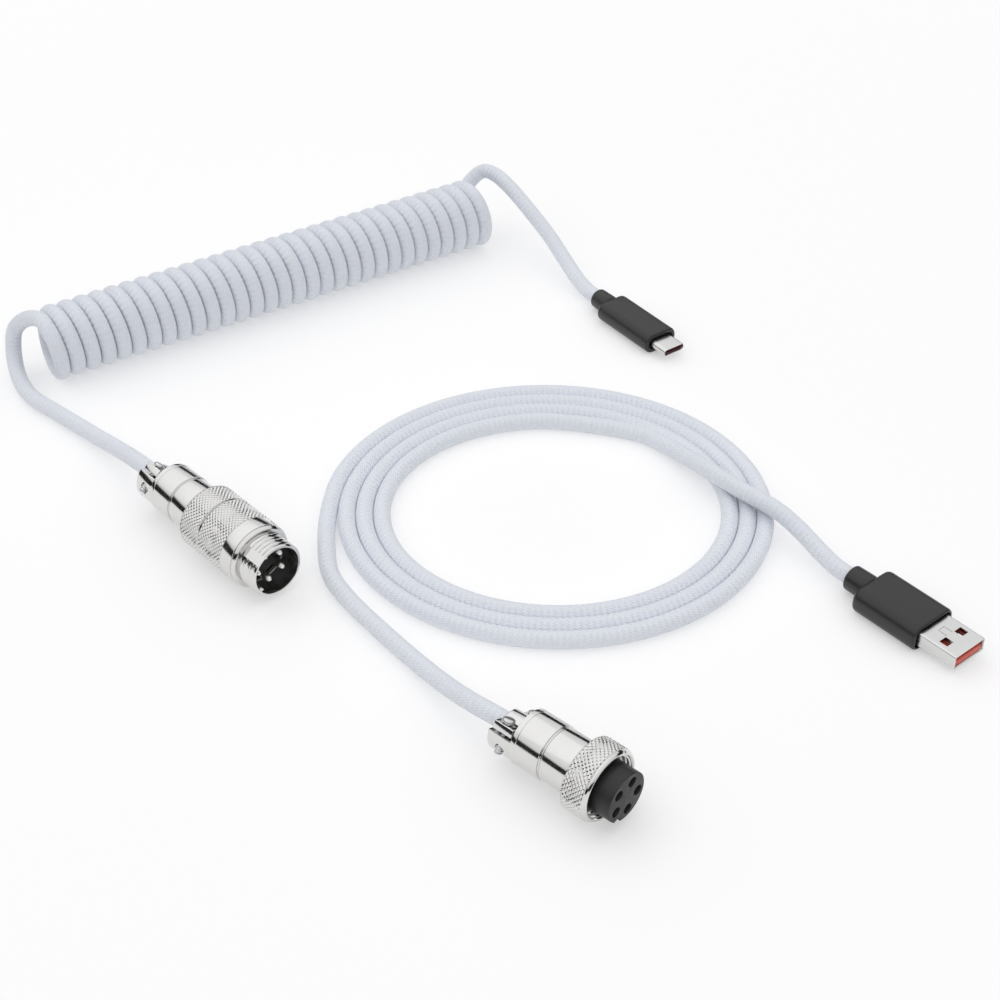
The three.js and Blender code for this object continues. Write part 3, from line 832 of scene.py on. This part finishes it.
def usb_a():
    matrix, body = stand(USB_A["at"], USB_A["heading"], USB_A["height"] / 2 * MM), "straight_half"
    made = plug_body("usb_a", USB_A, matrix, body)
    made.append(piece("usb_a_shell", usb_a_shell(), SHELL_STEEL, matrix, body, "usb_shell_steel",
                      "usb_a_shell"))
    tip, floor = USB_A["tip"], -USB_A["shell"][1] / 2 + SHELL_WALL + 0.3
    top = floor + 1.85
    tongue = bevelled(block(17, tip - 0.4, -5.4, 5.4, floor, top), 0.2)
    made.append(piece("usb_a_tongue", tongue, RED, matrix, body, "red_tongue", "usb_a_tongue"))
    rise = top + 0.3
    for i, y in enumerate((-3.5, -1, 1, 3.5), 1):
        name = f"usb_a_contact_{i}"
        contact = bevelled(block(20, tip - 1.2, y - 0.5, y + 0.5, rise, rise + 0.3), 0.08, 2)
        made.append(piece(name, contact, SILVER, matrix, body, "contact_silver", name))
    return made


def usb_c():
    matrix, body = stand(USB_C["at"], USB_C["heading"], USB_C["height"] / 2 * MM), "usb_c_end"
    made = plug_body("usb_c", USB_C, matrix, body)
    made.append(piece("usb_c_shell", metal_shell(USB_C), SHELL_STEEL, matrix, body, "usb_shell_steel",
                      "usb_c_shell"))
    tip = USB_C["tip"]
    width, height = (side - 2 * (SHELL_WALL + 0.25) for side in USB_C["shell"])
    liner = loft([rounded_ring(x, width - 2 * inset, height - 2 * inset, height / 2 - inset, 9)
                  for x, inset in ((26.5, 0), (tip - 0.65, 0), (tip - 0.5, 0.12))])
    slot = block(tip - 5, tip + 1, -3.1, 3.1, -0.32, 0.32)
    made.append(piece("usb_c_insert", combined(liner, [slot], "DIFFERENCE"), DARK_RED, matrix, body,
                      "dark_red_insert", "usb_c_insert"))
    board = bevelled(block(11, 25.5, -3.2, 3.2, -0.5, 0.5), 0.1)
    made.append(piece("usb_c_board", board, BOARD, matrix, body, "circuit_board", "usb_c_board"))
    return made


usb_a_pieces = usb_a()
usb_c_pieces = usb_c()

# ---- studio ----

FLOOR_SIZE = 6.0
FLOOR_DROP = 0.00005  # the floor lies this far below the cord, so that their faces don't meet
SKY = ((0.0, 0.012), (0.29, 0.012), (0.33, 0.82), (0.7, 1.0), (1.0, 1.05))  # height and brightness


def add_floor():
    """A plain pale floor that glows a little, so that it meets the white behind it."""
    mesh = bpy.data.meshes.new("floor")
    half = FLOOR_SIZE / 2
    corners = [(-half, -half, 0), (half, -half, 0), (half, half, 0), (-half, half, 0)]
    mesh.from_pydata(corners, [], [(0, 1, 2, 3)])
    made, _, _ = material("floor", (0.66, 0.66, 0.66), 0.9, Specular_IOR_Level=0.0,
                         Emission_Color=(1, 1, 1, 1), Emission_Strength=0.36)
    mesh.materials.append(made)
    floor = bpy.data.objects.new("floor", mesh)
    floor.location.z = -FLOOR_DROP
    bpy.context.scene.collection.objects.link(floor)


def add_world():
    """Bright above, with a dark band low down that the metal shows as its black streak; white to the eye."""
    made = bpy.data.worlds.new("studio")
    bpy.context.scene.world = made
    made.use_nodes = True
    tree = made.node_tree
    tree.nodes.clear()
    direction = node(tree, "ShaderNodeTexCoord").outputs["Generated"]
    height = node(tree, "ShaderNodeSeparateXYZ", {0: direction}).outputs[2]
    ramp = node(tree, "ShaderNodeValToRGB", {0: height})
    elements = ramp.color_ramp.elements
    while len(elements) < len(SKY):
        elements.new(0.5)
    for element, (place, value) in zip(elements, SKY):
        element.position = place
        element.color = (value, value, value * 1.01, 1)
    lit = node(tree, "ShaderNodeBackground", {0: ramp.outputs[0], 1: 1.0})
    seen = node(tree, "ShaderNodeBackground", {0: (1, 1, 1, 1), 1: 1.0})
    ray = node(tree, "ShaderNodeLightPath").outputs["Is Camera Ray"]
    mixed = node(tree, "ShaderNodeMixShader", {0: ray, 1: lit.outputs[0], 2: seen.outputs[0]})
    node(tree, "ShaderNodeOutputWorld", {0: mixed.outputs[0]})


def add_light(name, location, size, power):
    """A round area light that faces the middle of the object."""
    data = bpy.data.lights.new(name, "AREA")
    data.shape = "DISK"
    data.size = size
    data.energy = power
    light = bpy.data.objects.new(name, data)
    light.location = location
    light.rotation_euler = (-Vector(location)).to_track_quat("-Z", "Y").to_euler()
    bpy.context.scene.collection.objects.link(light)


add_floor()
add_world()
add_light("key", (-0.7, 0.5, 1.3), 2.6, 2.5)
bpy.context.scene.view_settings.view_transform = "Standard"
